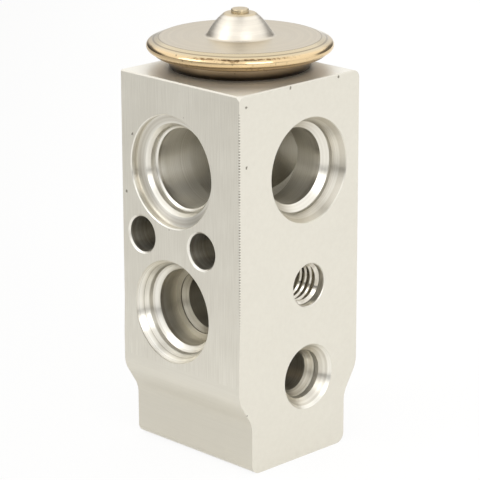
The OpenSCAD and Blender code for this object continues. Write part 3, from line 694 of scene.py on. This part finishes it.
def lay_lines(tree, spun, colour):
    """Lays the rim's dark lines, painted shade, over colour."""
    for inward, width, strength in RIM_LINES:
        line = add(tree, "Math", spun["radius"], head_r - inward, operation="SUBTRACT")
        line = add(tree, "Math", line, operation="ABSOLUTE")
        line = add(tree, "MapRange", line, width, 0.3 * width, 0.0, strength)
        # Painted shade in the rim's creases
        colour = add(tree, "Mix", line, colour, linear("#6b5a44"), data_type="RGBA")
    return colour


print("lines at radii", [round(head_r - inward, 5) for inward, *_ in RIM_LINES])

# %% [markdown]
# Specks and the skirt's painted shadow
# Weld spatter and dirt leave near-black specks, on the cover only at its very edge. The skirt's
# foot is painted dark where it meets the block, a painted contact shadow. The specks are a
# noise's highest peaks, which scatters them in all sizes, as spatter does.

# %% Lay the specks and the foot's painted shadow
# How far in from the head's edge the specks start, and where they are full
EDGE = (0.9 * MM, 0.4 * MM)
# How far above the block the painted shadow at the skirt's foot starts, and where it is full
SKIRT_FOOT = (1.7 * MM, 0.5 * MM)


def lay_specks_and_foot_shade(tree, spun, colour, speckle_and_foot_shade, polish_and_painted_light):
    """Lays near-black specks over colour, only at the head's edge where the steel is polished,
    and a painted contact shadow at the skirt's foot.
    """
    specks = add(tree, "MapRange", spun["grit"], 0.62, 0.74, 0.0, speckle_and_foot_shade)
    at_edge = add(tree, "MapRange", spun["radius"],
        head_r - EDGE[0], head_r - EDGE[1], 1.0 - polish_and_painted_light, 1.0)
    specks = add(tree, "Math", specks, at_edge, operation="MULTIPLY")
    # Painted shadow: the skirt's foot is painted dark where it meets the block
    foot = add(tree, "MapRange", spun["z"],
        block_high.z + SKIRT_FOOT[0], block_high.z + SKIRT_FOOT[1], 0.0, speckle_and_foot_shade)
    specks = add(tree, "Math", specks, foot, operation="MAXIMUM")
    return add(tree, "Mix", specks, colour, linear("#1c1610"), data_type="RGBA")


print("specks start", EDGE[0], "m inside the head's edge")

# %% [markdown]
# Painted reflection
# Above the block's front corner a broken brown line is painted on the rim, a painted reflection
# of the dark gap ahead in the tent. It is a ring that follows the heat's wandering, kept to the
# front, and broken up by the same noise that scatters the specks.

# %% Lay the painted reflection
# How far in from the head's edge the line runs, and how far off it the painted reflection starts
# and is full
REFLECTION_IN = 0.42 * MM
REFLECTION_WIDTH = (0.26 * MM, 0.12 * MM)
# How far ahead the painted reflection starts, and where it is full, as shares of the head's
# radius
REFLECTION_REACH = (0.80, 0.88)


def lay_painted_reflection(tree, spun, colour, polish_and_painted_light):
    """Lays a broken brown line, a painted reflection of the dark gap ahead, over colour where
    polished steel faces up, in front.
    """
    painted_reflection = add(tree, "Math", spun["heat"], head_r - REFLECTION_IN, operation="SUBTRACT")
    painted_reflection = add(tree, "Math", painted_reflection, operation="ABSOLUTE")
    painted_reflection = add(tree, "MapRange", painted_reflection, *REFLECTION_WIDTH, 0.0, polish_and_painted_light)
    ahead = add(tree, "VectorMath", spun["place"], tuple(front),
        operation="DOT_PRODUCT", out="Value")
    ahead = add(tree, "MapRange", ahead, REFLECTION_REACH[0] * head_r, REFLECTION_REACH[1] * head_r)
    broken = add(tree, "MapRange", spun["grit"], 0.38, 0.55, 0.15, 0.8)
    upward = add(tree, "SeparateXYZ", spun["normal"], out="Z")
    upward = add(tree, "Math", upward, 0.1, operation="GREATER_THAN")
    for share in (ahead, broken, upward):
        painted_reflection = add(tree, "Math", painted_reflection, share, operation="MULTIPLY")
    # Painted reflection: a dark brown line for the gap ahead mirrored in the rim
    return add(tree, "Mix", painted_reflection, colour, linear("#6b4a1e"), data_type="RGBA")


print("the scorch runs at radius", head_r - REFLECTION_IN)

# %% [markdown]
# The head's surface
# The oxide is smooth glass, so the heated rim is shinier than the spun disc, and the dome's
# polish is a little softer. The spinning grooves spread the light outwards from the axis, as
# they do in the bores.

# %% Make the head's finishes
def heated_steel(name, plain, straw, amber, rough, speckle_and_foot_shade, polish_and_painted_light=0.0):
    """Spun stainless that turns straw and then amber within 2.5 mm of the head's edge."""
    material, tree = new_material(name)
    spun = spun_patterns(tree)
    colour, strawed, dome = heat_colours(tree, spun, plain, straw, amber, polish_and_painted_light)
    colour = lay_lines(tree, spun, colour)
    colour = lay_specks_and_foot_shade(tree, spun, colour, speckle_and_foot_shade, polish_and_painted_light)
    colour = lay_painted_reflection(tree, spun, colour, polish_and_painted_light)
    rough_here = add(tree, "Math", spun["cloud"], 0.1, rough, operation="MULTIPLY_ADD")
    rough_here = add(tree, "Math", dome, 0.1, rough_here, operation="MULTIPLY_ADD")
    rough_here = add(tree, "Math", strawed, -0.72 * rough, rough_here, operation="MULTIPLY_ADD")
    bump = add(tree, "Bump", Strength=0.08, Distance=0.02 * MM, Height=spun["rings"])
    spread = add(tree, "VectorMath", spun["normal"], spun["around"], operation="CROSS_PRODUCT")
    surface = add(tree, "BsdfPrincipled",
        Base_Color=colour, Metallic=1.0, Roughness=rough_here, Normal=bump,
        Tangent=spread, Anisotropic=0.35)
    add(tree, "OutputMaterial", surface)
    return material


cover_finish = heated_steel(
    "stainless steel, spun and straw-edged", "#cdc2ad", "#d0c1a2", "#e6cb9f", 0.26, 0.5, 1.0)
skirt_finish = heated_steel(
    "stainless steel, drawn and heat-browned", "#a8957c", "#b39870", "#b8965f", 0.28, 0.95)
plug_finish = heated_steel(
    "steel plug, tanned by its weld", "#d2c6b0", "#d2c6b0", "#d2c6b0", 0.3, 0.4)
print("made", [m.name for m in (cover_finish, skirt_finish, plug_finish)])

# %% [markdown]
# The small parts' metals
# Inside are ground steel for the pin and ball, bright spring wire, turned brass for the screw
# and the ball's seat, and a turned aluminium rod, and the tapped hole is cut bright. The tool
# leaves rings round the valve's axis, one step of its feed apart. All of them share one recipe,
# because only the metal, the step and the shine differ.

# %% Make the turned metals
def turned_metal(name, tone, shade, rough, step, relief):
    """Bright metal turned round the valve's axis, with tool rings one step apart."""
    material, tree = new_material(name)
    place, *_, z, radius = round_the_axis(tree)
    ring_place = add(tree, "CombineXYZ", radius, z)
    rings = add(tree, "TexNoise", ring_place, Scale=1 / step, Detail=2.0, Roughness=0.6)
    cloud = add(tree, "TexNoise", place, Scale=1 / (2 * MM), Detail=2.0, Roughness=0.5)
    worn = add(tree, "MapRange", cloud, 0.35, 0.7, 0.0, 1.0)
    colour = add(tree, "Mix", worn, linear(tone), linear(shade), data_type="RGBA")
    rough_here = add(tree, "Math", rings, 0.12, rough, operation="MULTIPLY_ADD")
    bump = add(tree, "Bump", Strength=relief, Distance=0.02 * MM, Height=rings)
    surface = add(tree, "BsdfPrincipled",
        Base_Color=colour, Metallic=1.0, Roughness=rough_here, Normal=bump)
    add(tree, "OutputMaterial", surface)
    return material


rod_finish = turned_metal("aluminium, turned", "#e2dfd6", "#cfccc4", 0.3, 0.3 * MM, 0.3)
tapped_finish = turned_metal("aluminium, tapped", "#dfdbd0", "#bbb5a7", 0.08, 0.3 * MM, 0.1)
pin_finish = turned_metal("bearing steel, ground", "#bdbcba", "#a9a8a6", 0.12, 0.2 * MM, 0.05)
spring_finish = turned_metal(
    "spring steel, bright drawn", "#adaca9", "#8f8d89", 0.25, 0.25 * MM, 0.1)
brass_finish = turned_metal("brass, turned", "#cfab63", "#b08c4a", 0.24, 0.25 * MM, 0.2)
small_metals = (rod_finish, tapped_finish, pin_finish, spring_finish, brass_finish)
print("made", [finish.name for finish in small_metals])

# %% [markdown]
# The seals' rubber
# The three O-rings are moulded nitrile rubber, black and matt. Wax comes out of such rubber in
# time and leaves a grey bloom, which a soft noise spreads over it.

# %% Make the rubber
rubber_finish, tree = new_material("nitrile rubber, moulded")
place = add(tree, "TexCoord", out="Object")
bloom = add(tree, "TexNoise", place, Scale=1 / (1.2 * MM), Detail=3.0, Roughness=0.6)
worn = add(tree, "MapRange", bloom, 0.4, 0.75, 0.0, 1.0)
colour = add(tree, "Mix", worn, linear("#161514"), linear("#2b2927"), data_type="RGBA")
rough = add(tree, "Math", bloom, 0.2, 0.5, operation="MULTIPLY_ADD")
bump = add(tree, "Bump", Strength=0.2, Distance=0.02 * MM, Height=bloom)
surface = add(tree, "BsdfPrincipled", Base_Color=colour, Roughness=rough, Normal=bump)
add(tree, "OutputMaterial", surface)
print("made", rubber_finish.name)

# %% [markdown]
# Dressing the solids
# Each solid of the model takes one finish, laid into its own material slots. Rounder meshes
# could be made for them, but the real pieces are machined or drawn and the solids already have
# their crisp edges, so they are kept as they came.

# %% Give each node its finish
FINISHES = {
    "valve_body": block_finish, "upper_cover": cover_finish, "lower_cover": skirt_finish,
    "charge_plug": plug_finish, "diaphragm": spring_finish, "stopper_plate": spring_finish,
    "sensing_rod": rod_finish, "push_pin": pin_finish, "valve_ball": pin_finish,
    "ball_holder": brass_finish, "adjusting_screw": brass_finish, "seal_retainer": spring_finish,
    "damper_spring": spring_finish, "bias_spring": spring_finish, "head_seal": rubber_finish,
    "rod_seal": rubber_finish, "screw_seal": rubber_finish,
}
for name, finish in FINISHES.items():
    for slot in nodes[name].material_slots:
        slot.material = finish
bare = [name for name, node in nodes.items() if not node.material_slots]
print("dressed", len(FINISHES), "nodes; bare:", bare)

# %% [markdown]
# The tapped hole's thread
# The clamp plate's stud screws into an M8 thread of 1.25 mm pitch. The tap leaves one ridge
# that winds round the hole. It is made as a lathe would make it: the outline of one tooth is
# swept round the hole's axis and moved along it by one pitch a turn, which the Screw modifier
# does exactly. A stack of plain rings would look alike but would not be a thread.

# %% Measure the thread
PITCH = 1.25 * MM
TOOTH = 0.6 * MM
LEAD_IN = 0.7 * MM
thread_mount = mounts["pipe_plate_thread"]
root_r = thread_mount["dims"]["r_mm"] * MM
thread_l = thread_mount["dims"]["length_mm"] * MM
thread_at = Vector(thread_mount["pos_m"])
turns = round((thread_l - LEAD_IN) / PITCH - 1)
print("thread: radius", root_r, "length", thread_l, "turns", turns)

# %% [markdown]
# Wind the ridge
# One tooth's outline is a square's four corners moved to its root and its crest. The root is
# sunk a little into the hole's wall, so that no slit shows between them. The sweep is made round
# the upright axis through the origin, because that is where the modifier winds.

# %% Wind the thread
THREAD_STEPS = 40
bpy.ops.object.select_all(action="DESELECT")
bpy.ops.mesh.primitive_plane_add(size=1, location=(0, 0, 0))
thread = bpy.context.object
thread.name = "mounting_thread"
tooth = {(-0.5, -0.5): (root_r + SKIN, 0.06), (0.5, -0.5): (root_r - TOOTH, 0.40),
         (-0.5, 0.5): (root_r + SKIN, 0.94), (0.5, 0.5): (root_r - TOOTH, 0.60)}
for vertex in thread.data.vertices:
    outward, along = tooth[(vertex.co.x, vertex.co.y)]
    vertex.co = (outward, 0, along * PITCH)
winding = thread.modifiers.new("winding", "SCREW")
winding.angle = math.tau * turns
winding.screw_offset = PITCH * turns
winding.steps = winding.render_steps = THREAD_STEPS * turns
bpy.ops.object.modifier_apply(modifier=winding.name)
print("thread:", len(thread.data.polygons), "faces")

# %% [markdown]
# Lay the ridge in the hole
# The sweep stands upright, so it is laid down along the hole and moved to its mouth. The sweep's
# two ends are open, and a face on each closes it. It is part of the block's metal, so it rides
# on the block, and it takes the tapped aluminium's finish.

# %% Close and place the thread
thread_mouth = Vector((thread_at.x + thread_l / 2 - LEAD_IN, thread_at.y, thread_at.z))
thread.data.transform(Matrix.Translation(thread_mouth) @ Matrix.Rotation(-math.pi / 2, 4, "Y"))
bpy.ops.object.mode_set(mode="EDIT")
bpy.ops.mesh.select_all(action="SELECT")
bpy.ops.mesh.fill_holes(sides=0)
bpy.ops.mesh.normals_make_consistent(inside=False)
bpy.ops.object.mode_set(mode="OBJECT")
bpy.ops.object.shade_smooth_by_angle(angle=math.radians(30))
thread.data.materials.append(tapped_finish)
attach(thread, "block")
print("thread: from x", thread_mouth.x, "inwards, closed to", len(thread.data.polygons), "faces")

# %% [markdown]
# The bias spring
# The spring is one bright wire, wound four and a half times. Its first and last turns are
# closed, so that they lie on their neighbours, and their ends are ground flat to stand square.
# The solid is faceted, so a smooth wire replaces it. The screw presses on its foot and the
# ball's seat on its top, so it is made in two lengths that meet half-way up, where neither
# moves it.

# %% Measure the spring
WIRE = 1.3 * MM
CLOSED_RISE = 0.92 * WIRE
OPEN_TURNS = 1.25
FOOT_RISE = 0.3 * WIRE
spring_low, spring_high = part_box("bias_spring")
spring_middle = (spring_low.z + spring_high.z) / 2
coil_r = spring_high.x - WIRE / 2
open_rise = spring_middle - spring_low.z - FOOT_RISE - CLOSED_RISE
print("coil radius:", coil_r, "height:", spring_high.z - spring_low.z)

# %% [markdown]
# Wind the wire
# A circle of wire is swept round the axis and up by the Screw modifier, which is the path that
# a coiling machine gives it. Each length has two sweeps, one for its closed turn and one for
# its open turns, and merging the points where they meet makes one wire of them.

# %% Wind a length of wire
WIRE_SIDES = 16
TURN_STEPS = 48


def wind_wire(name, height, turn, sweeps):
    """Wire from height up, starting turn turns round; each sweep is its turns and its rise."""
    lengths = []
    for turn_count, rise in sweeps:
        bpy.ops.object.select_all(action="DESELECT")
        bpy.ops.mesh.primitive_circle_add(
            vertices=WIRE_SIDES, radius=WIRE / 2, rotation=(math.pi / 2, 0, 0))
        wire = bpy.context.object
        bpy.ops.object.transform_apply(location=True, rotation=True)
        turned_to = Matrix.Rotation(math.tau * turn, 4, "Z")
        wire.data.transform(turned_to @ Matrix.Translation((coil_r, 0, height)))
        winding = wire.modifiers.new("winding", "SCREW")
        winding.angle = math.tau * turn_count
        winding.screw_offset = rise
        winding.steps = winding.render_steps = round(TURN_STEPS * turn_count)
        bpy.ops.object.modifier_apply(modifier=winding.name)
        height += rise
        turn += turn_count
        lengths.append(wire)
    for wire in lengths:
        wire.select_set(True)
    bpy.ops.object.join()
    wire = bpy.context.object
    wire.name = name
    return wire


print("wire of", WIRE_SIDES, "sides and", TURN_STEPS, "steps a turn")

# %% [markdown]
# Wind the two lengths
# The lower length starts with its closed turn and the upper one ends with it. The first turn's
# middle line starts a little above the ground end, so that grinding leaves the flat end that
# the screw presses on.

# %% Wind the two lengths
closed_turn = (1, CLOSED_RISE)
open_turns = (OPEN_TURNS, open_rise)
lower = wind_wire(
    "bias_spring_foot", spring_low.z + FOOT_RISE, 0, (closed_turn, open_turns))
upper = wind_wire(
    "bias_spring_top", spring_middle, 1 + OPEN_TURNS, (open_turns, closed_turn))
print("wound", lower.name, "and", upper.name)

# %% [markdown]
# Close the wire and grind its ends
# The open ends of each length are filled, and a cut square to the axis takes off what the
# grinding wheel would.

# %% Fill and grind
for wire, level, way in ((lower, spring_low.z, 1), (upper, spring_high.z, -1)):
    bpy.ops.object.select_all(action="DESELECT")
    wire.select_set(True)
    bpy.context.view_layer.objects.active = wire
    bpy.ops.object.mode_set(mode="EDIT")
    bpy.ops.mesh.select_all(action="SELECT")
    bpy.ops.mesh.remove_doubles(threshold=1e-6)
    bpy.ops.mesh.fill_holes(sides=0)
    bpy.ops.mesh.select_all(action="SELECT")
    bpy.ops.mesh.bisect(plane_co=(0, 0, level), plane_no=(0, 0, way), use_fill=True,
        clear_inner=True, threshold=1e-7)
    bpy.ops.mesh.select_all(action="SELECT")
    bpy.ops.mesh.normals_make_consistent(inside=False)
    bpy.ops.object.mode_set(mode="OBJECT")
    bpy.ops.object.shade_smooth_by_angle(angle=math.radians(40))
    wire.data.materials.append(spring_finish)
    heights = [v.co.z for v in wire.data.vertices]
    print(wire.name, len(wire.data.polygons), "faces, z", min(heights), "to", max(heights))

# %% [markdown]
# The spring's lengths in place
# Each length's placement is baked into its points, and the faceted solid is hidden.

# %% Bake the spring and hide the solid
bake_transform(lower)
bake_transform(upper)
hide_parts("bias_spring")
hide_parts("bias_spring")
